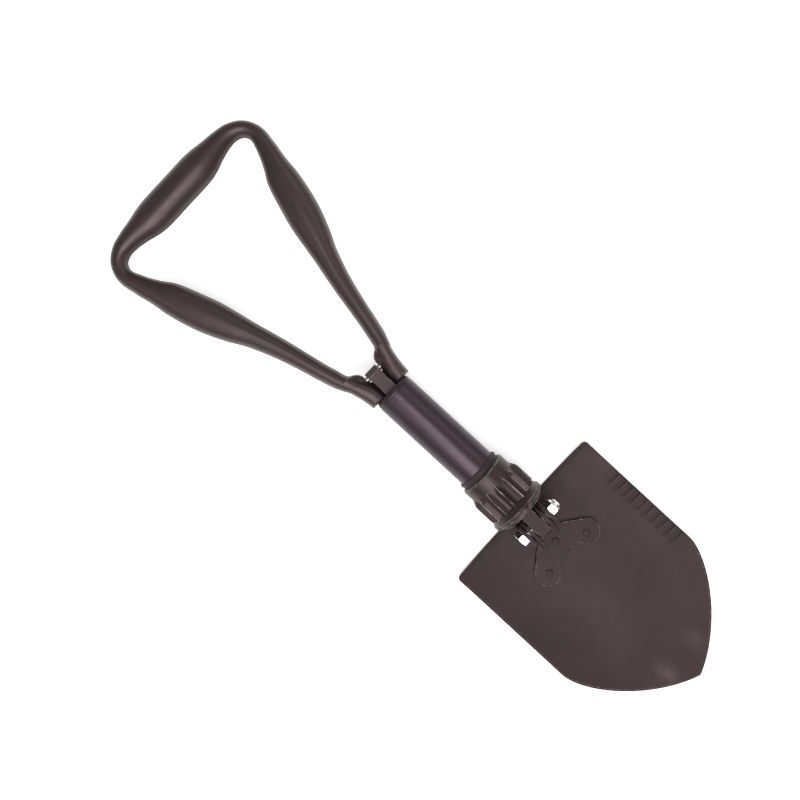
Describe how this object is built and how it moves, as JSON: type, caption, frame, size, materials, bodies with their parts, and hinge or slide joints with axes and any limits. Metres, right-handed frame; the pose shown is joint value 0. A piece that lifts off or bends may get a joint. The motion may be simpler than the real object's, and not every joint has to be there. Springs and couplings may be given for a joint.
{
  "type": "folding camp shovel",
  "caption": "Tri-fold camp shovel with a pointed blade, serrated edge, locking collar and triangular D-handle that folds flat.",
  "frame": {"origin": "middle of the open shovel's overall length and width, level with the flat back of the blade", "axes": "+X along the shaft towards the blade's tip, +Z out of the blade's dished front, +Y towards the serrated edge"},
  "size_m": [0.6094, 0.1708, 0.0579],
  "materials": {
    "coated_steel": "semi-matte powder coat",
    "handle_polymer": "semi-matte glass-filled nylon",
    "anodised_tube": "satin dark anodised",
    "black_polymer": "satin black nylon",
    "seal_rubber": "matte",
    "bright_zinc": "bright zinc plate",
    "plain_steel": "satin",
    "brass": "machined"
  },
  "bodies": {
    "spindle": {"handle_block": "coated_steel", "hinge_tongue": "coated_steel", "tie_rod": "plain_steel", "handle_roll_pin": "plain_steel", "tongue_roll_pin": "plain_steel"},
    "shaft": {"shaft_tube": "anodised_tube", "end_bush": "black_polymer", "guide_bush": "black_polymer"},
    "thrust": {"thrust_ring": "black_polymer"},
    "collar": {"locking_collar": "black_polymer", "collar_insert": "brass", "dust_seal": "seal_rubber"},
    "handle": {"handle_frame": "handle_polymer", "handle_pivot_pin": "plain_steel", "knuckle_bush_left": "plain_steel", "knuckle_bush_right": "plain_steel"},
    "blade": {"blade": "coated_steel", "hinge_bracket": "coated_steel", "bracket_saddle": "coated_steel", "rivet_middle": "coated_steel", "rivet_left": "coated_steel", "rivet_right": "coated_steel", "pivot_bolt": "bright_zinc", "lock_nut": "bright_zinc", "nut_insert": "black_polymer", "friction_washer_left": "plain_steel", "friction_washer_right": "plain_steel", "ear_spacer_left": "plain_steel", "ear_spacer_right": "plain_steel"}
  },
  "joints": [
    {"name": "handle_fold", "type": "hinge", "parent": "spindle", "child": "handle", "pos_m": [-0.07168, 0, 0.0322], "axis": [0, 1, 0], "range_deg": [0, 180]},
    {"name": "blade_fold", "type": "hinge", "parent": "spindle", "child": "blade", "pos_m": [0.10933, 0, 0.0322], "axis": [0, -1, 0], "range_deg": [0, 180]},
    {"name": "tube_slack", "type": "slide", "parent": "spindle", "child": "shaft", "axis": [1, 0, 0], "range_m": [0, 0.0026]},
    {"name": "collar_travel", "type": "slide", "parent": "shaft", "child": "thrust", "axis": [-1, 0, 0], "range_m": [0, 0.008]},
    {"name": "collar_turn", "type": "hinge", "parent": "thrust", "child": "collar", "pos_m": [0.0685, 0, 0.0322], "axis": [-1, 0, 0], "range_deg": [0, 730]}
  ],
  "couplings": [
    {"joint": "collar_turn", "follows": "collar_travel", "rad_per_m": 1570.8},
    {"joint": "tube_slack", "follows": "collar_travel", "ratio": 0.3125}
  ]
}
